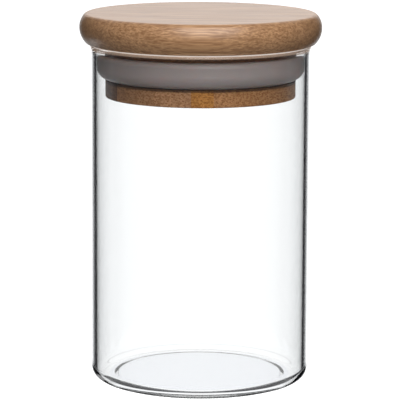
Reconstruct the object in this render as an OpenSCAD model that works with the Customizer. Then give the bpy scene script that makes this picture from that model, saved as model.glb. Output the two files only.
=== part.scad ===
// Lidded glass storage canister: a straight blown-glass jar and a turned bamboo
// lid, whose plug carries a wide silicone sealing ring.
// Millimetres. The origin is the middle of the footprint, with +Z up.

/* [Jar] */
// Outer diameter of the glass
jar_d = 65; // [50:0.5:90]
// Height of the glass from the table to the top of its rim
jar_h = 100.8; // [60:0.1:200]
// Thickness of the glass wall
wall_t = 1.6; // [1.2:0.05:2]
// Thickness of the glass floor
floor_t = 1.8; // [1.4:0.1:4]
// Radius of the outer corner between the wall and the underside
heel_r = 3.7; // [1.5:0.1:4.5]
// Radius of the inner corner between the wall and the floor
corner_r = 2.4; // [1:0.1:4]
// How far the fire-polished rim bulges past the outside of the wall
rim_bulge = 0.2; // [0:0.05:0.6]
// Width of the flat ring that the jar stands on
foot_w = 3.2; // [2:0.1:8]
// Depth of the shallow hollow inside that ring
punt_depth = 0.4; // [0.1:0.1:1]
// Width of the slope round the edge of that hollow
punt_slope = 1.2; // [0.5:0.1:3]

/* [Lid cap] */
// How far the cap stands out past the glass all round
cap_overhang = 3.4; // [1:0.1:8]
// Thickness of the cap
cap_t = 9; // [9:0.1:16]
// Height of the cap's widest level above its underside
cap_waist = 4.8; // [3:0.1:6]
// How far the cap's side draws in from its widest level to its underside
cap_lower_inset = 2.2; // [0.5:0.1:3]
// How far the cap's side draws in from its widest level to its top
cap_upper_inset = 1.8; // [0.5:0.1:3]
// Gap left between the glass rim and the cap
seat_gap = 0.1; // [0:0.05:0.5]

/* [Lid plug and seal] */
// Radial gap between the plug and the inside of the glass
plug_gap = 2.7; // [2.4:0.05:5]
// How far the plug reaches down below the cap
plug_h = 15.6; // [14.8:0.1:30]
// Radius of the plug's lower edge
plug_edge_r = 0.6; // [0.2:0.1:1.5]
// Height of the plug's lower lip, below the groove
lip_h = 5.2; // [2:0.1:5.5]
// Height of the groove and of the seal that fills it
seal_h = 8; // [6:0.1:9]
// Depth of the groove in the plug
groove_depth = 2; // [1:0.1:3]
// Radial gap between the seal and the inside of the glass
seal_gap = 0.15; // [0.05:0.05:0.5]
// Radius of the seal's upper outer corner
seal_upper_r = 1.9; // [0.5:0.1:2]
// Radius of the seal's lower outer corner
seal_lower_r = 4; // [0.5:0.1:4]

/* [Hidden] */
$fn = 96;
jar_r = jar_d / 2;
bore_r = jar_r - wall_t;
rim_r = (wall_t + rim_bulge) / 2;
punt_r = jar_r - heel_r - foot_w;
cap_r = jar_r + cap_overhang;
cap_z = jar_h + seat_gap;
plug_r = bore_r - plug_gap;
plug_z = cap_z - plug_h;
seal_r = bore_r - seal_gap;
seal_z = plug_z + lip_h;
groove_r = plug_r - groove_depth;
// How far a cutting shape runs past the face it cuts
past = 1;

// Radius of the arc that starts square to a line of length run and ends rise off it
function arc_radius(run, rise) = (run * run + rise * rise) / (2 * rise);

// Section of a round bar from its axis out to radius r, from y = 0 up to y = h,
// with its upper outer corner rounded to edge_r
module rounded_section(r, h, edge_r) {
    square([r - edge_r, h]);
    square([r, h - edge_r]);
    translate([r - edge_r, h - edge_r]) circle(edge_r);
}

// Section of half a disc, from its widest level at y = 0 up to its flat at y = h,
// with the side bowed so that it draws in by inset
module bowed_section(r, h, inset) {
    bow_r = arc_radius(h, inset);
    intersection() {
        square([r, h]);
        union() {
            square([r - bow_r, h]);
            translate([r - bow_r, 0]) circle(bow_r);
        }
    }
}

// Turns a section upside down about the level y = h
module flipped(h) {
    translate([0, h]) mirror([0, 1]) children();
}

// Section of the glass wall's outside, from the table up to the rim's middle
module jar_outside() {
    flipped(jar_h - rim_r) rounded_section(jar_r, jar_h - rim_r, heel_r);
}

// Section of the space inside the jar
module jar_inside() {
    depth = jar_h + past - floor_t;
    translate([0, floor_t]) flipped(depth) rounded_section(bore_r, depth, corner_r);
}

// Section of the hollow under the floor: a flat roof with a sloping edge
module punt() {
    roof_r = punt_r - punt_slope;
    polygon([[0, -past], [punt_r, -past], [punt_r, 0], [roof_r, punt_depth], [0, punt_depth]]);
}

// The glass: a straight tube closed by a flat floor, with a rounded rim
module glass_jar() {
    color([0.86, 0.91, 0.92, 0.45]) rotate_extrude() {
        difference() {
            jar_outside();
            jar_inside();
            punt();
        }
        translate([bore_r + rim_r, jar_h - rim_r]) circle(rim_r);
    }
}

// The cap: a bamboo disc with a bowed side, widest a little above its middle
module lid_cap() {
    color([0.80, 0.66, 0.52]) translate([0, 0, cap_z]) rotate_extrude() {
        flipped(cap_waist) bowed_section(cap_r, cap_waist, cap_lower_inset);
        translate([0, cap_waist]) bowed_section(cap_r, cap_t - cap_waist, cap_upper_inset);
    }
}

// The plug: a bamboo disc glued under the cap, grooved to hold the seal
module lid_plug() {
    color([0.62, 0.43, 0.26]) translate([0, 0, plug_z]) rotate_extrude() {
        difference() {
            flipped(plug_h) rounded_section(plug_r, plug_h, plug_edge_r);
            translate([groove_r, lip_h]) square([groove_depth + past, seal_h]);
        }
    }
}

// The seal: a silicone ring that fills the groove and bulges out to the glass
module gasket() {
    color([0.80, 0.78, 0.77]) translate([0, 0, seal_z]) rotate_extrude() {
        difference() {
            intersection() {
                flipped(seal_h) rounded_section(seal_r, seal_h, seal_lower_r);
                rounded_section(seal_r, seal_h, seal_upper_r);
            }
            square([groove_r, seal_h]);
        }
    }
}

glass_jar();
lid_cap();
lid_plug();
gasket();
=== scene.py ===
"""The looks of the lidded glass canister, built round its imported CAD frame.

Lengths are in metres and angles in degrees unless a name says otherwise. The jar stands on
z = 0 with its axis along +Z. Radii and heights come from the frame's own nodes.
"""
import math

import bmesh
import bpy
from mathutils import Matrix, Vector, noise


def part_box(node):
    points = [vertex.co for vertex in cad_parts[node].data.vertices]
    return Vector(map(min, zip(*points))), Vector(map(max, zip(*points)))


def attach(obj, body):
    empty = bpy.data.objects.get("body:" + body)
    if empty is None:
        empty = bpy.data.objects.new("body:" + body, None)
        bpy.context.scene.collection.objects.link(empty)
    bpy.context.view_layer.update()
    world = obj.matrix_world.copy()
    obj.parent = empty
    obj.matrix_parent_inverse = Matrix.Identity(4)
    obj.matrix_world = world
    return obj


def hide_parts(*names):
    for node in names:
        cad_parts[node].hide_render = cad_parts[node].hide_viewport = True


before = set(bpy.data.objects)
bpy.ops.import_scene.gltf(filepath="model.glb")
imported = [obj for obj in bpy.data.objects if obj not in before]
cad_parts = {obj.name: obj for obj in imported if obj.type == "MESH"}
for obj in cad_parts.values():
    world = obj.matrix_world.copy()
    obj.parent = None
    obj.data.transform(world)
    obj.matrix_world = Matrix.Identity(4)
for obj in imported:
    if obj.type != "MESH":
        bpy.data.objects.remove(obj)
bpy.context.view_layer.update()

MM = 0.001

# Glass: the wall, floor and corners that the node's box doesn't give. The punt is the hollow
# under the floor.
WALL = 1.6 * MM
FLOOR_T = 1.8 * MM
HEEL_R = 3.7 * MM
CORNER_R = 2.4 * MM
RIM_BULGE = 0.2 * MM
PUNT_R = 24.4 * MM
PUNT_SLOPE = 1.2 * MM
PUNT_RISE = 0.4 * MM
PUNT_EASE = 0.8 * MM
RIM_ARC_START = -20
GLASS_IOR = 1.474
GLASS_COLOUR = (0.985, 0.993, 0.995, 1)
GLASS_SHADOW = (0.93, 0.94, 0.94, 1)

# The rim is faintly matt and carries painted light: an emission, standing in for light piped up the
# wall, paints a white highlight line along its top and a warm painted reflection of the cap's wood
# just under it. Below: how far the rim hides the clear glass, its painted colour, and the strength of
# its painted glow. Depths below the top are in RIM_UNITs.
RIM_UNIT = 2.0 * MM
RIM_MATT_AND_PAINTED_GLOW = [(0.14, 0.95), (0.20, 0.24), (0.45, 0.24), (0.58, 0.0)]
RIM_PAINTED_COLOUR = [(0.14, (0.95, 0.92, 0.88)), (0.20, (0.90, 0.66, 0.50))]
RIM_PAINTED_GLOW = 0.5

# Lid cap: the level of its widest ring above its underside, and how far its side draws in
CAP_WAIST = 4.8 * MM
CAP_LOWER_INSET = 2.2 * MM
CAP_UPPER_INSET = 1.8 * MM
CAP_TOP_EASE = 0.7 * MM
CAP_FOOT_EASE = 0.6 * MM
SANDING_DEPTH = 0.04 * MM
SANDING_REPEAT = (60, 60, 150)

# Plug and seal
PLUG_EDGE_R = 0.4 * MM
GROOVE_DEPTH = 2.0 * MM
GROOVE_EASE = 0.25 * MM
SEAL_UPPER_R = 1.9 * MM
SEAL_LOWER_R = 4.0 * MM

# Bamboo: how often its features repeat, per metre, along the grain and twice across it
BUNDLES = (25, 1400, 1700)
FIBRES = (60, 3500, 3500)
STREAKS = (45, 900, 1500)
TONE = (12, 160, 220)
GRAIN_DEPTH = 0.04 * MM
GRAIN_BUMP = 0.6
FIBRE_RELIEF = 0.6
DOT_STRENGTH = [(0.20, 1.0), (0.50, 0.0)]
TONE_STRENGTH = [(0.32, 0.0), (0.68, 1.0)]
STREAK_STRENGTH = [(0.36, 0.60), (0.54, 0.0)]
FIBRE_STRENGTH = [(0.36, 0.55), (0.60, 0.0)]
SHEEN_STRENGTH = [(0.35, 0.35), (0.60, 1.0)]
# How strongly painted shade darkens the faces that look left or right
SIDE_PAINTED_SHADE_STRENGTH = 0.38
LEAST_ROUGH = 0.34
ROUGH_SPREAD = 0.2
DARKER = (0.50, 0.42, 0.36, 1)
PALER = (1.16, 1.17, 1.22, 1)
# The dark brown of that painted shade on the faces that look left or right
SIDE_PAINTED_SHADE = (0.10, 0.050, 0.022, 1)

# The cap: the width of its strips, the two browns between which they vary, how strongly dots and
# gloss show, and its fleck
CAP_STRIP = 7.0 * MM
CAP_BROWNS = ((0.57, 0.315, 0.148, 1), (0.60, 0.340, 0.168, 1))
CAP_DOTS = 0.7
CAP_COAT = 0.55
CAP_SPECULAR = 0.5
FLECK_BROWN = (0.20, 0.12, 0.08, 1)
FLECK_STRENGTH = [(0.2, 0.6), (1.0, 0.0)]
FLECK_PLACE = (-16.5 * MM, -2.0 * MM, 109.9 * MM)
FLECK_SHAPE = (1 / (3.0 * MM), 1 / (0.8 * MM), 1 / (1.0 * MM))

# The strips that the plug is made of, from the left: where each starts, in mm, and its colour, below
# the seal and above it. The colours above the seal are painted light: far paler than the wood, to
# stand in for light that the neck doesn't get in the deep shade under the cap.
PLUG_STRIPS = [(-29.0, (0.20, 0.10, 0.052)), (-24.0, (0.54, 0.285, 0.140)),
               (-2.8, (0.58, 0.255, 0.062)), (3.7, (0.54, 0.265, 0.108))]
NECK_PAINTED_LIGHT_STRIPS = [(-29.0, (0.85, 0.36, 0.130)), (-10.6, (0.92, 0.44, 0.160)),
               (0.7, (0.85, 0.38, 0.140)), (11.3, (0.92, 0.40, 0.140))]
PLUG_DOTS = 0.9
PLUG_COAT = 0.0
PLUG_SPECULAR = 0.15

# Painted shade on the plug just under the seal: how far down the painted shade reaches, and how
# bright the wood is painted from its top (0) to its end (1)
SEAL_PAINTED_SHADE_REACH = 1.2 * MM
SEAL_PAINTED_SHADE = [(0.45, 0.22), (0.75, 1.0)]

SILICONE_GREYS = ((0.325, 0.275, 0.265, 1), (0.365, 0.310, 0.300, 1))

# Meshes: steps in a turn, in a rounded corner and in a long line, how far the points beside a
# corner stand from it, and the radius below which a point counts as on the axis
TURN_STEPS = 256
ROUND_STEPS = 24
RIM_STEPS = 32
SIDE_STEPS = 24
EASE_STEPS = 8
FLAT_END = 0.03 * MM
ON_AXIS = 1e-7


# ---------------------------------------------------------------- turned shapes

def arc(centre_r, centre_z, radius, start, end, steps):
    """Points (r, z) along an arc, from one angle to another in degrees above +r."""
    points = []
    for i in range(steps + 1):
        a = math.radians(start + (end - start) * i / steps)
        points.append((centre_r + radius * math.cos(a), centre_z + radius * math.sin(a)))
    return points


def line(start, end, steps):
    """Points between two points (r, z), without the two ends."""
    (r0, z0), (r1, z1) = start, end
    return [(r0 + (r1 - r0) * i / steps, z0 + (z1 - z0) * i / steps) for i in range(1, steps)]


def rounded(corners):
    """Points along the straight lines between corners (r, z, radius), where each corner with
    a radius is rounded by an arc. Close pairs of points keep the shading of the flats true."""
    points = [Vector(corners[0][:2])]
    for before, corner, after in zip(corners, corners[1:], corners[2:]):
        at = Vector(corner[:2])
        back = (Vector(before[:2]) - at).normalized()
        on = (Vector(after[:2]) - at).normalized()
        half = back.angle(on) / 2
        radius = corner[2]
        if radius == 0:
            points += [at + back * FLAT_END, at, at + on * FLAT_END]
            continue
        reach = radius / math.tan(half)
        centre = at + (back + on).normalized() * radius / math.sin(half)
        start = at + back * reach - centre
        sweep = start.angle_signed(at + on * reach - centre)
        points.append(at + back * (reach + FLAT_END))
        for i in range(ROUND_STEPS + 1):
            turn = -sweep * i / ROUND_STEPS
            points.append(centre + Matrix.Rotation(turn, 2) @ start)
        points.append(at + on * (reach + FLAT_END))
    points.append(Vector(corners[-1][:2]))
    return [tuple(point) for point in points]


def turned(name, profile, wobble=None):
    """A smooth mesh made by turning a profile of points (r, z) once round the Z axis.

    A point on the axis becomes a single vertex. wobble takes a point on the surface and
    returns how far it moves out from the axis there.
    """
    made = bmesh.new()
    rings = []
    for r, z in profile:
        if r < ON_AXIS:
            rings.append([made.verts.new((0, 0, z))])
            continue
        ring = []
        for i in range(TURN_STEPS):
            a = 2 * math.pi * i / TURN_STEPS
            out = Vector((math.cos(a), math.sin(a), 0))
            point = out * r + Vector((0, 0, z))
            if wobble:
                point += out * wobble(point)
            ring.append(made.verts.new(point))
        rings.append(ring)
    for low, high in zip(rings, rings[1:]):
        for i in range(TURN_STEPS):
            j = (i + 1) % TURN_STEPS
            if len(low) == 1:
                corners = (low[0], high[j], high[i])
            elif len(high) == 1:
                corners = (low[i], low[j], high[0])
            else:
                corners = (low[i], low[j], high[j], high[i])
            made.faces.new(corners)
    bmesh.ops.recalc_face_normals(made, faces=made.faces)
    mesh = bpy.data.meshes.new(name)
    made.to_mesh(mesh)
    made.free()
    mesh.shade_smooth()
    piece = bpy.data.objects.new(name, mesh)
    bpy.context.scene.collection.objects.link(piece)
    return piece


def bow_radius(run, rise):
    """Radius of the arc that starts square to a line of length run and ends rise off it."""
    return (run * run + rise * rise) / (2 * rise)


# ---------------------------------------------------------------- pieces

def build_jar():
    """The glass: a tube with a flat floor, a hollow under it and a rounded rim."""
    low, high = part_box("glass_jar")
    rim_out = high.x
    top = high.z
    outer = rim_out - RIM_BULGE
    inner = outer - WALL
    rim_r = (rim_out - inner) / 2
    neck_z = top - 3 * rim_r
    profile = rounded([
        (0, PUNT_RISE, 0), (PUNT_R, PUNT_RISE, PUNT_EASE), (PUNT_R + PUNT_SLOPE, 0, PUNT_EASE),
        (outer, 0, HEEL_R), (outer, neck_z, 0), (outer, top - 2 * rim_r, 0)])
    profile += arc(inner + rim_r, top - rim_r, rim_r, RIM_ARC_START, 180, RIM_STEPS)
    profile += rounded([
        (inner, top - rim_r - FLAT_END, 0), (inner, FLOOR_T, CORNER_R), (0, FLOOR_T, 0)])
    jar = turned("jar_glass", profile)
    jar.data.materials.append(glass_material())
    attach(jar, "jar")
    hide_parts("glass_jar")


def build_cap():
    """The cap: a disc with a bowed side and both of its edges softened."""
    low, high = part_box("lid_cap")
    radius = high.x
    waist = low.z + CAP_WAIST
    upper_bow = bow_radius(high.z - waist, CAP_UPPER_INSET)
    lower_bow = bow_radius(CAP_WAIST, CAP_LOWER_INSET)
    upper_end = math.degrees(math.asin((high.z - waist) / upper_bow))
    lower_end = math.degrees(math.asin(CAP_WAIST / lower_bow))
    side = arc(radius - lower_bow, waist, lower_bow, -lower_end, 0, SIDE_STEPS)
    side += arc(radius - upper_bow, waist, upper_bow, 0, upper_end, SIDE_STEPS)[1:]
    under = eased((0, low.z), side, CAP_FOOT_EASE)
    over = eased((0, high.z), side[::-1], CAP_TOP_EASE)[::-1]
    bow = [p for p in side if under[-1][1] < p[1] < over[0][1]]
    profile = [(0, low.z)] + line((0, low.z), under[0], SIDE_STEPS)
    profile += under + bow + over
    profile += line(over[-1], (0, high.z), SIDE_STEPS) + [(0, high.z)]
    cap = turned("bamboo_cap", profile, cap_wobble)
    cap.data.materials.append(cap_material())
    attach(cap, "lid")
    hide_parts("lid_cap")


def eased(flat_end, side, reach):
    """Points that round the corner where a flat meets the first point of a side profile.

    They leave the flat a reach before the corner and join the side a reach beyond it.
    """
    corner = Vector(side[0])
    start = corner + (Vector(flat_end) - corner).normalized() * reach
    end = next(Vector(p) for p in side if (Vector(p) - corner).length >= reach)
    points = []
    for i in range(EASE_STEPS + 1):
        t = i / EASE_STEPS
        points.append(tuple(start * (1 - t) ** 2 + corner * 2 * t * (1 - t) + end * t ** 2))
    return points


def cap_wobble(point):
    """Hand sanding leaves the side a few hundredths of a millimetre uneven, inwards only."""
    return -SANDING_DEPTH * abs(noise.noise(point * Vector(SANDING_REPEAT)))


def build_plug():
    """The plug: a disc with a square groove round it, whose lips are softened."""
    low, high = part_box("lid_plug")
    seal_low, seal_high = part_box("gasket")
    radius = high.x
    core = radius - GROOVE_DEPTH
    ease = GROOVE_EASE
    profile = [(0, low.z)] + line((0, low.z), (radius - PLUG_EDGE_R, low.z), 16)
    profile += arc(radius - PLUG_EDGE_R, low.z + PLUG_EDGE_R, PLUG_EDGE_R, -90, 0, 8)
    profile += line((radius, low.z + PLUG_EDGE_R), (radius, seal_low.z - ease), 6)
    profile += arc(radius - ease, seal_low.z - ease, ease, 0, 90, 4)
    profile += line((radius - ease, seal_low.z), (core, seal_low.z), 4)
    profile += [(core, seal_low.z), (core, seal_high.z)]
    profile += line((core, seal_high.z), (radius - ease, seal_high.z), 4)
    profile += arc(radius - ease, seal_high.z + ease, ease, -90, 0, 4)
    profile += line((radius, seal_high.z + ease), (radius, high.z), 3)
    profile += [(radius, high.z)] + line((radius, high.z), (0, high.z), 8) + [(0, high.z)]
    plug = turned("bamboo_plug", profile)
    plug.data.materials.append(plug_material())
    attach(plug, "lid")
    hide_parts("lid_plug")


def build_seal():
    """The seal: a ring that fills the groove, with its outer corners rounded."""
    low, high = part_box("gasket")
    plug_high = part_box("lid_plug")[1]
    radius = high.x
    core = plug_high.x - GROOVE_DEPTH
    profile = [(core, high.z), (core, low.z)]
    profile += line((core, low.z), (radius - SEAL_LOWER_R, low.z), 6)
    profile += arc(radius - SEAL_LOWER_R, low.z + SEAL_LOWER_R, SEAL_LOWER_R, -90, 0, 20)
    profile += line((radius, low.z + SEAL_LOWER_R), (radius, high.z - SEAL_UPPER_R), 6)
    profile += arc(radius - SEAL_UPPER_R, high.z - SEAL_UPPER_R, SEAL_UPPER_R, 0, 90, 16)
    profile += line((radius - SEAL_UPPER_R, high.z), (core, high.z), 6)
    profile += [(core, high.z)]
    seal = turned("silicone_seal", profile)
    seal.data.materials.append(silicone_material())
    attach(seal, "lid")
    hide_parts("gasket")


# ---------------------------------------------------------------- materials

class Nodes:
    """Short calls for building one node tree."""

    def __init__(self, tree):
        self.tree = tree
        tree.nodes.clear()

    def add(self, kind, inputs=None, **settings):
        """A node with its properties set, and its inputs set to values or joined to sockets."""
        node = self.tree.nodes.new(kind)
        for key, value in settings.items():
            setattr(node, key, value)
        for key, value in (inputs or {}).items():
            self.feed(node.inputs[key], value)
        return node

    def feed(self, socket, value):
        """Joins an input to another socket, or sets it to a value."""
        if isinstance(value, bpy.types.NodeSocket):
            self.tree.links.new(value, socket)
        else:
            socket.default_value = value

    def math(self, operation, a, b=0.0, c=0.0, clamp=False):
        node = self.add("ShaderNodeMath", {0: a, 1: b, 2: c}, operation=operation, use_clamp=clamp)
        return node.outputs[0]

    def both(self, a, b):
        """The product of two masks: 1 where both are 1."""
        return self.math("MULTIPLY", a, b)

    def above(self, value, limit):
        """A mask: 1 where the value is over the limit."""
        return self.math("GREATER_THAN", value, limit)

    def below(self, value, limit):
        """A mask: 1 where the value is under the limit."""
        return self.math("LESS_THAN", value, limit)

    def mix(self, factor, a, b, blend="MIX"):
        node = self.add("ShaderNodeMix", data_type="RGBA", blend_type=blend)
        factor_in, a_in, b_in = node.inputs[0], node.inputs[6], node.inputs[7]
        self.feed(factor_in, factor)
        self.feed(a_in, a)
        self.feed(b_in, b)
        return node.outputs[2]

    def ramp(self, factor, stops, interpolation="LINEAR"):
        """A colour ramp through stops of (place, colour), where a colour may be one number."""
        node = self.add("ShaderNodeValToRGB", {0: factor})
        band = node.color_ramp
        band.interpolation = interpolation
        while len(band.elements) < len(stops):
            band.elements.new(0.5)
        for element, (place, colour) in zip(band.elements, stops):
            element.position = place
            if not hasattr(colour, "__len__"):
                colour = (colour, colour, colour)
            element.color = (*colour[:3], 1)
        return node.outputs[0]

    def noise(self, vector, scale, detail=2.0, roughness=0.5):
        node = self.add("ShaderNodeTexNoise", {
            "Vector": vector, "Scale": scale, "Detail": detail, "Roughness": roughness})
        return node.outputs[0]

    def stretched(self, vector, scale):
        """The vector with each axis multiplied by its own number."""
        node = self.add("ShaderNodeVectorMath", {0: vector, 1: scale}, operation="MULTIPLY")
        return node.outputs[0]

    def parts(self, vector):
        """The x, y and z of a vector."""
        return self.add("ShaderNodeSeparateXYZ", {0: vector}).outputs


def new_material(name):
    material = bpy.data.materials.new(name)
    material.use_nodes = True
    return material, Nodes(material.node_tree)


def glass_material():
    """Clear borosilicate with a faintly matt rim that carries painted light: a painted highlight line
    and a warm painted reflection of the cap.

    Light from lamps passes straight through the glass to what is inside.
    """
    material, nodes = new_material("clear_glass")
    glass = nodes.add("ShaderNodeBsdfPrincipled", {
        "Base Color": GLASS_COLOUR, "Roughness": 0.0, "IOR": GLASS_IOR,
        "Transmission Weight": 1.0})
    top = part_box("glass_jar")[1].z
    height = nodes.parts(nodes.add("ShaderNodeTexCoord").outputs["Object"])["Z"]
    below_top = nodes.math("MULTIPLY", nodes.math("SUBTRACT", top, height), 1 / RIM_UNIT)
    matt_and_painted_glow = nodes.ramp(below_top, RIM_MATT_AND_PAINTED_GLOW)
    painted_rim_colour = nodes.ramp(below_top, RIM_PAINTED_COLOUR)
    # Painted light: the matt rim's colour and its emission paint a white highlight line along the top
    # and a warm reflection of the cap's wood under it. The rim is no lamp.
    frost = nodes.add("ShaderNodeBsdfDiffuse", {"Color": painted_rim_colour})
    glow = nodes.add("ShaderNodeEmission", {"Color": painted_rim_colour, "Strength": RIM_PAINTED_GLOW})
    lit = nodes.add("ShaderNodeAddShader", {0: frost.outputs[0], 1: glow.outputs[0]})
    rimmed = nodes.add("ShaderNodeMixShader", {0: matt_and_painted_glow, 1: glass.outputs[0], 2: lit.outputs[0]})
    clear = nodes.add("ShaderNodeBsdfTransparent", {"Color": GLASS_SHADOW})
    to_lamp = nodes.add("ShaderNodeLightPath").outputs["Is Shadow Ray"]
    either = nodes.add("ShaderNodeMixShader", {0: to_lamp, 1: rimmed.outputs[0], 2: clear.outputs[0]})
    nodes.add("ShaderNodeOutputMaterial", {"Surface": either.outputs[0]})
    return material


def bamboo_surface(nodes, place, base, dots_depth, side_shade, coat, specular):
    """A sanded bamboo shader whose grain runs along the X axis of place.

    The fibre bundles are long cells, so they show as streaks along the grain and as dots across it.
    side_shade, from 0 to 1, says how far a place is darkened towards a dark brown: painted shade on
    the faces turned left or right, away from the lights, which on the cap are also the cut ends of
    the grain.
    """
    bundles = nodes.add("ShaderNodeTexVoronoi", {
        "Vector": nodes.stretched(place, BUNDLES), "Scale": 1.0, "Randomness": 0.9})
    dots = nodes.ramp(bundles.outputs["Distance"], DOT_STRENGTH)
    fibres = nodes.noise(nodes.stretched(place, FIBRES), 1.0, 3.0)
    tone = nodes.noise(nodes.stretched(place, TONE), 1.0, 2.0)
    streaks = nodes.noise(nodes.stretched(place, STREAKS), 1.0, 2.0)
    dark = nodes.mix(1.0, base, DARKER, "MULTIPLY")
    pale = nodes.mix(1.0, base, PALER, "MULTIPLY")
    colour = nodes.mix(nodes.ramp(tone, TONE_STRENGTH), base, pale)
    colour = nodes.mix(nodes.ramp(streaks, STREAK_STRENGTH), colour, dark)
    colour = nodes.mix(nodes.math("MULTIPLY", dots, dots_depth), colour, dark)
    colour = nodes.mix(nodes.ramp(fibres, FIBRE_STRENGTH), colour, dark)
    # Painted shade: faces turned left or right are darkened as if turned away from the lights.
    side = nodes.math("MULTIPLY", side_shade, nodes.math("MULTIPLY", side_shade, SIDE_PAINTED_SHADE_STRENGTH))
    colour = nodes.mix(side, colour, SIDE_PAINTED_SHADE)
    height = nodes.math("SUBTRACT", nodes.math("MULTIPLY", fibres, FIBRE_RELIEF), dots)
    bump = nodes.add("ShaderNodeBump", {
        "Strength": GRAIN_BUMP, "Distance": GRAIN_DEPTH, "Height": height})
    sheen = nodes.math("MULTIPLY", coat, nodes.ramp(fibres, SHEEN_STRENGTH))
    rough = nodes.math("ADD", LEAST_ROUGH, nodes.math("MULTIPLY", fibres, ROUGH_SPREAD))
    return nodes.add("ShaderNodeBsdfPrincipled", {
        "Base Color": colour, "Roughness": rough, "IOR": 1.5, "Normal": bump.outputs[0],
        "Specular IOR Level": specular, "Coat Weight": sheen, "Coat Roughness": 0.24}).outputs[0]


def facing_sideways(nodes, coordinates):
    """1 on the faces that look left or right, and 0 on those that look ahead or up."""
    return nodes.math("ABSOLUTE", nodes.parts(coordinates.outputs["Normal"])["X"])


def fleck(nodes, place):
    """How strongly the dark fleck on the cap shows at a place."""
    away = nodes.add("ShaderNodeVectorMath", {0: place, 1: FLECK_PLACE}, operation="SUBTRACT")
    shaped = nodes.stretched(away.outputs[0], FLECK_SHAPE)
    distance = nodes.add("ShaderNodeVectorMath", {0: shaped}, operation="LENGTH").outputs["Value"]
    return nodes.ramp(distance, FLECK_STRENGTH)


def cap_material():
    """The cap: one bamboo board with its grain from side to side, and one dark fleck on top."""
    material, nodes = new_material("bamboo_cap")
    coordinates = nodes.add("ShaderNodeTexCoord")
    place = coordinates.outputs["Object"]
    across = nodes.parts(place)["Y"]
    strip = nodes.math("FLOOR", nodes.math("DIVIDE", across, CAP_STRIP))
    strip_tone = nodes.add("ShaderNodeTexWhiteNoise", {"W": strip}, noise_dimensions="1D").outputs[0]
    base = nodes.mix(strip_tone, *CAP_BROWNS)
    base = nodes.mix(fleck(nodes, place), base, FLECK_BROWN)
    side_shade = facing_sideways(nodes, coordinates)
    wood = bamboo_surface(nodes, place, base, CAP_DOTS, side_shade, CAP_COAT, CAP_SPECULAR)
    nodes.add("ShaderNodeOutputMaterial", {"Surface": wood})
    return material


def strip_colour(nodes, across, strips):
    """The colour of the plug's strips at a place across it."""
    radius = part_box("lid_plug")[1].x
    stops = [(0.5 + 0.5 * start * MM / radius, colour) for start, colour in strips]
    return nodes.ramp(nodes.math("MULTIPLY_ADD", across, 0.5 / radius, 0.5), stops, "CONSTANT")


def plug_material():
    """The plug: strips of bamboo with their grain from front to back, each its own brown, with
    painted light on the neck above the seal and painted shade just under the seal.
    """
    material, nodes = new_material("bamboo_plug")
    coordinates = nodes.add("ShaderNodeTexCoord")
    place = coordinates.outputs["Object"]
    across, _, height = nodes.parts(place)
    seal_low, seal_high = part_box("gasket")
    above_seal = nodes.above(height, seal_high.z)
    foot = strip_colour(nodes, across, PLUG_STRIPS)
    # Painted light: the neck's strip colours are far paler than the wood, standing in for light in
    # the shade under the cap.
    painted_lit_neck = strip_colour(nodes, across, NECK_PAINTED_LIGHT_STRIPS)
    base = nodes.mix(above_seal, foot, painted_lit_neck)
    # Painted shade: the wood just under the seal is darkened, where the seal shades it.
    painted_shade_depth = nodes.math("SUBTRACT", seal_low.z, height)
    painted_shade_depth = nodes.math("MULTIPLY", painted_shade_depth, 1 / SEAL_PAINTED_SHADE_REACH)
    base = nodes.mix(1.0, base, nodes.ramp(painted_shade_depth, SEAL_PAINTED_SHADE), "MULTIPLY")
    grain_place = nodes.add("ShaderNodeMapping", {
        "Vector": place, "Rotation": (0, 0, math.radians(90))}).outputs[0]
    side_shade = facing_sideways(nodes, coordinates)
    wood = bamboo_surface(nodes, grain_place, base, PLUG_DOTS, side_shade, PLUG_COAT, PLUG_SPECULAR)
    nodes.add("ShaderNodeOutputMaterial", {"Surface": wood})
    return material


def silicone_material():
    """The seal: milky grey-brown silicone, a little cloudy."""
    material, nodes = new_material("silicone")
    place = nodes.add("ShaderNodeTexCoord").outputs["Object"]
    colour = nodes.mix(nodes.noise(place, 160, 3.0), *SILICONE_GREYS)
    silicone = nodes.add("ShaderNodeBsdfPrincipled", {
        "Base Color": colour, "Roughness": 0.42, "IOR": 1.41, "Subsurface Weight": 0.3,
        "Subsurface Scale": 0.002})
    nodes.add("ShaderNodeOutputMaterial", {"Surface": silicone.outputs[0]})
    return material


# ---------------------------------------------------------------- studio

# Angles round the room are in degrees from straight behind the jar, and positive to the right.
# Heights in it are sines of the angle above the horizon, or below it where a name says down.

# The tall soft panels: their spacing, how far they are all turned, and their brightness from
# the middle of a panel (0) to the middle of the gap beside it (1)
PANEL_PERIOD = 45.0
PANEL_TURN = -0.5
PANEL_LIGHT = [(0.0, (1.22, 1.22, 1.22)), (0.62, (1.10, 1.11, 1.12)), (0.88, (0.66, 0.67, 0.69)),
               (0.96, (0.06, 0.062, 0.066)), (1.0, (0.02, 0.021, 0.023))]

# The black flags on both sides of the back panel, which draw the dark edges of the glass. The
# left one has an opening low down, so that the jar looks clear in the view from 45,25.
FLAG_START = 23.5
FLAG_END = 67.5
FLAG_BLACK = (0.02, 0.02, 0.022, 1)
FLAG_TOP = [(0.45, 1.0), (0.70, 0.0)]
FLAG_OPENING_DOWN = [(0.335, 0.0), (0.350, 1.0), (0.480, 1.0), (0.495, 0.0)]

# A thin grey line low on the back panel, seen as the far line in the jar's base
LINE_DOWN = [(0.3175, 0.0), (0.3187, 0.5), (0.3205, 0.5), (0.3217, 0.0)]
LINE_GREY = (0.2, 0.2, 0.21, 1)

# The ceiling: where it begins, and its light, which ends in a dark patch right overhead
CEILING_START = [(0.55, 0.0), (0.75, 1.0)]
CEILING_LIGHT = [(0.960, 0.95), (0.985, 0.08)]

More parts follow.
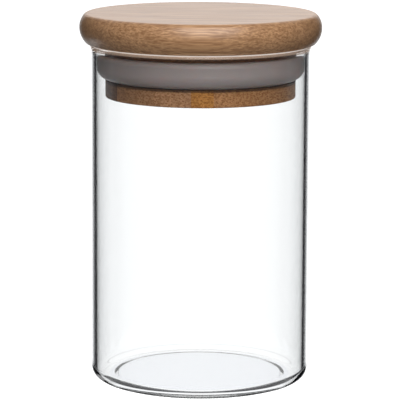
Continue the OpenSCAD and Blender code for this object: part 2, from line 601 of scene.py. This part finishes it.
# Gloss sees the front of the room as an even dark grey
BACK_OF_ROOM = [(0.25, 0.0), (0.6, 1.0)]
FRONT_GREY = (0.10, 0.10, 0.105, 1)

# The light on matt surfaces, from straight below (0) to straight above (1), and the lobe that
# is added to it behind the jar
SOFT_LIGHT = [(0.0, 0.30), (0.2, 0.26), (0.47, 0.14), (0.6, 0.12), (1.0, 0.12)]
BACK_LOBE = [(0.35, 0.0), (0.95, 0.9)]

# The bright table under the jar, for light that has bounced inside the jar
TABLE_HALF_WIDTH = 0.4
TABLE_DOWN = 0.5
TABLE_LIGHT = (1.6, 1.6, 1.6, 1)

# The key light, its image in the front glass, and a low fill under it. Its azimuth is from
# straight in front.
KEY_AZIMUTH = 9.0
KEY_ELEVATION = 46
KEY_SIZE = (1.07, 0.85)
KEY_POWER = 13
KEY_HALF_WIDTH = 24.0
KEY_HEIGHT = [(0.26, 0.0), (0.30, 1.0), (0.80, 1.0), (0.84, 0.0)]
KEY_LIGHT = (5.0, 5.0, 5.0, 1)
FILL_ELEVATION = 14
FILL_SIZE = (1.0, 0.3)
FILL_POWER = 2.2
LAMP_DISTANCE = 1.2

# The floor, and the patch of it in the jar's shade
FLOOR_HALF = 4.0
PATCH_R = 27.0 * MM
PATCH_DROP = 0.02 * MM

CAMERA_DISTANCE = 0.78135
CAMERA_ELEVATION = 9.84
CAMERA_ROLL = 0.25
CAMERA_TARGET = (0, 0, 0.05376)
CAMERA_LENS = 235.2

# Depths are whole numbers, so a limit of a half asks for one bounce or more. A ray that has only
# been into the near wall and out again has passed two faces of the glass, and one that has been
# inside the jar has passed more.
ONE_BOUNCE = 0.5
NEAR_WALL_FACES = 2.5


def degrees_from(nodes, sideways, ahead):
    """The angle of a direction to one side of straight ahead, in degrees."""
    return nodes.math("MULTIPLY", nodes.math("ARCTAN2", sideways, ahead), 180 / math.pi)


def room_light(nodes, x, y, z):
    """The room that glass sees: tall panels with dark gaps, two black flags and a ceiling."""
    azimuth = degrees_from(nodes, x, y)
    off_back = nodes.math("ABSOLUTE", azimuth)
    down = nodes.math("MULTIPLY", z, -1.0)
    off_panel = nodes.math("PINGPONG", nodes.math("ADD", azimuth, PANEL_TURN), PANEL_PERIOD / 2)
    panels = nodes.ramp(nodes.math("DIVIDE", off_panel, PANEL_PERIOD / 2), PANEL_LIGHT)
    opening = nodes.both(nodes.ramp(down, FLAG_OPENING_DOWN), nodes.below(azimuth, 0.0))
    flag_height = nodes.math("SUBTRACT", nodes.ramp(z, FLAG_TOP), opening, clamp=True)
    beside_back = nodes.both(nodes.above(off_back, FLAG_START), nodes.below(off_back, FLAG_END))
    walls = nodes.mix(nodes.both(beside_back, flag_height), panels, FLAG_BLACK)
    far_line = nodes.both(nodes.ramp(down, LINE_DOWN), nodes.below(off_back, FLAG_START))
    walls = nodes.mix(far_line, walls, LINE_GREY)
    return nodes.mix(nodes.ramp(z, CEILING_START), walls, nodes.ramp(z, CEILING_LIGHT))


def soft_light(nodes, y, z):
    """The even light on matt surfaces, stronger from behind."""
    up = nodes.math("MULTIPLY_ADD", z, 0.5, 0.5)
    return nodes.mix(1.0, nodes.ramp(up, SOFT_LIGHT), nodes.ramp(y, BACK_LOBE), "ADD")


def table_in_sight(nodes, x, z):
    """1 for directions that look steeply down at the table."""
    steep = nodes.above(nodes.math("MULTIPLY", z, -1.0), TABLE_DOWN)
    return nodes.both(nodes.below(nodes.math("ABSOLUTE", x), TABLE_HALF_WIDTH), steep)


def key_in_sight(nodes, x, y, z):
    """1 for directions that look at the key light."""
    azimuth = degrees_from(nodes, x, nodes.math("MULTIPLY", y, -1.0))
    off_key = nodes.math("ABSOLUTE", nodes.math("SUBTRACT", azimuth, KEY_AZIMUTH))
    return nodes.both(nodes.below(off_key, KEY_HALF_WIDTH), nodes.ramp(z, KEY_HEIGHT))


def build_world():
    """The light round the jar, where what a ray sees depends on what it has met.

    The camera sees white. Matt surfaces get the soft light, and gloss sees the room with its
    front dimmed. Through glass a ray sees the whole room, with three exceptions. One that has
    bounced off the front glass sees what gloss sees, and the key light. One that has bounced
    inside the jar sees the soft light and the table. One that left a matt surface sees
    black, because light sampled straight from the lamps and the room has already reached that
    surface through the glass.
    """
    world = bpy.data.worlds.new("studio")
    bpy.context.scene.world = world
    world.use_nodes = True
    nodes = Nodes(world.node_tree)
    x, y, z = nodes.parts(nodes.add("ShaderNodeTexCoord").outputs["Generated"])
    path = nodes.add("ShaderNodeLightPath").outputs
    through = path["Is Transmission Ray"]
    bounced = nodes.above(path["Glossy Depth"], ONE_BOUNCE)
    off_front = nodes.both(bounced, nodes.below(path["Transmission Depth"], NEAR_WALL_FACES))
    off_inside = nodes.both(bounced, nodes.above(path["Transmission Depth"], NEAR_WALL_FACES))
    off_matt = nodes.above(path["Diffuse Depth"], ONE_BOUNCE)
    room = room_light(nodes, x, y, z)
    soft = soft_light(nodes, y, z)
    gloss = nodes.mix(nodes.ramp(y, BACK_OF_ROOM), FRONT_GREY, room)
    inside = nodes.mix(table_in_sight(nodes, x, z), soft, TABLE_LIGHT)
    colour = nodes.mix(path["Is Glossy Ray"], soft, gloss)
    colour = nodes.mix(through, colour, nodes.mix(off_front, room, gloss))
    colour = nodes.mix(nodes.both(through, off_matt), colour, (0, 0, 0, 1))
    colour = nodes.mix(nodes.both(through, off_inside), colour, inside)
    key_image = nodes.both(key_in_sight(nodes, x, y, z), nodes.both(through, off_front))
    colour = nodes.mix(key_image, colour, KEY_LIGHT)
    colour = nodes.mix(path["Is Camera Ray"], colour, (1, 1, 1, 1))
    back = nodes.add("ShaderNodeBackground", {"Color": colour, "Strength": 1.0})
    nodes.add("ShaderNodeOutputWorld", {"Surface": back.outputs[0]})


def stage_object(name, made, material):
    """Turns a bmesh into an object that isn't part of the jar."""
    mesh = bpy.data.meshes.new(name)
    made.to_mesh(mesh)
    made.free()
    mesh.materials.append(material)
    thing = bpy.data.objects.new(name, mesh)
    bpy.context.scene.collection.objects.link(thing)
    thing.visible_diffuse = False
    thing.visible_glossy = False
    return thing


def build_floor():
    """A plain white floor, bright enough that the jar's shadow on it stays faint."""
    material, nodes = new_material("floor")
    matt = nodes.add("ShaderNodeBsdfDiffuse", {"Color": (0.8, 0.8, 0.8, 1)})
    glow = nodes.add("ShaderNodeEmission", {"Color": (1, 1, 1, 1), "Strength": 0.95})
    lit = nodes.add("ShaderNodeAddShader", {0: matt.outputs[0], 1: glow.outputs[0]})
    nodes.add("ShaderNodeOutputMaterial", {"Surface": lit.outputs[0]})
    made = bmesh.new()
    signs = ((-1, -1), (1, -1), (1, 1), (-1, 1))
    made.faces.new([made.verts.new((sx * FLOOR_HALF, sy * FLOOR_HALF, 0)) for sx, sy in signs])
    floor = stage_object("floor", made, material)
    floor.visible_transmission = False


def build_table_patch():
    """The patch of table under the jar, in its shade, that shows through the jar's floor."""
    material, nodes = new_material("table_patch")
    glow = nodes.add("ShaderNodeEmission", {"Color": (1.0, 1.01, 1.05, 1), "Strength": 1.02})
    nodes.add("ShaderNodeOutputMaterial", {"Surface": glow.outputs[0]})
    made = bmesh.new()
    bmesh.ops.create_circle(made, cap_ends=True, segments=96, radius=PATCH_R)
    patch = stage_object("table_patch", made, material)
    patch.location.z = -PATCH_DROP
    patch.visible_camera = False
    patch.visible_shadow = False


def direction(azimuth, elevation):
    """The unit vector from the jar towards a place. Azimuth 0 is in front, at -Y, and 90 at +X."""
    a, e = math.radians(azimuth), math.radians(elevation)
    return Vector((math.sin(a) * math.cos(e), -math.cos(a) * math.cos(e), math.sin(e)))


def add_softbox(name, azimuth, elevation, size, power):
    """An area lamp aimed at the lid, which the camera and the glass don't see."""
    lamp = bpy.data.lights.new(name, "AREA")
    lamp.shape = "RECTANGLE"
    lamp.size, lamp.size_y = size
    lamp.energy = power
    holder = bpy.data.objects.new(name, lamp)
    bpy.context.scene.collection.objects.link(holder)
    back = direction(azimuth, elevation)
    target = Vector((0, 0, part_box("lid_cap")[0].z))
    holder.location = target + back * LAMP_DISTANCE
    holder.rotation_mode = "QUATERNION"
    holder.rotation_quaternion = (-back).to_track_quat("-Z", "Y")
    holder.visible_camera = False
    holder.visible_transmission = False


def build_lights():
    add_softbox("key", KEY_AZIMUTH, KEY_ELEVATION, KEY_SIZE, KEY_POWER)
    add_softbox("low_fill", KEY_AZIMUTH, FILL_ELEVATION, FILL_SIZE, FILL_POWER)


def build_camera():
    """A long lens a little above the lid, as for a catalogue picture."""
    lens = bpy.data.cameras.new("camera")
    lens.lens = CAMERA_LENS
    lens.sensor_width = 36
    lens.clip_start = 0.05
    lens.clip_end = 50
    camera = bpy.data.objects.new("camera", lens)
    bpy.context.scene.collection.objects.link(camera)
    back = direction(0, CAMERA_ELEVATION)
    camera.location = Vector(CAMERA_TARGET) + back * CAMERA_DISTANCE
    level = (-back).to_track_quat("-Z", "Y").to_matrix().to_4x4()
    rolled = level @ Matrix.Rotation(math.radians(CAMERA_ROLL), 4, "Z")
    camera.rotation_mode = "QUATERNION"
    camera.rotation_quaternion = rolled.to_quaternion()
    bpy.context.scene.camera = camera


def set_quality():
    scene = bpy.context.scene
    scene.view_settings.view_transform = "Standard"
    cycles = scene.cycles
    cycles.max_bounces = 24
    cycles.transmission_bounces = 20
    cycles.glossy_bounces = 8
    cycles.transparent_max_bounces = 24
    cycles.use_denoising = True
    cycles.caustics_refractive = True
    cycles.caustics_reflective = True


build_camera()
build_world()
build_floor()
build_table_patch()
build_lights()
build_jar()
build_cap()
build_plug()
build_seal()
set_quality()
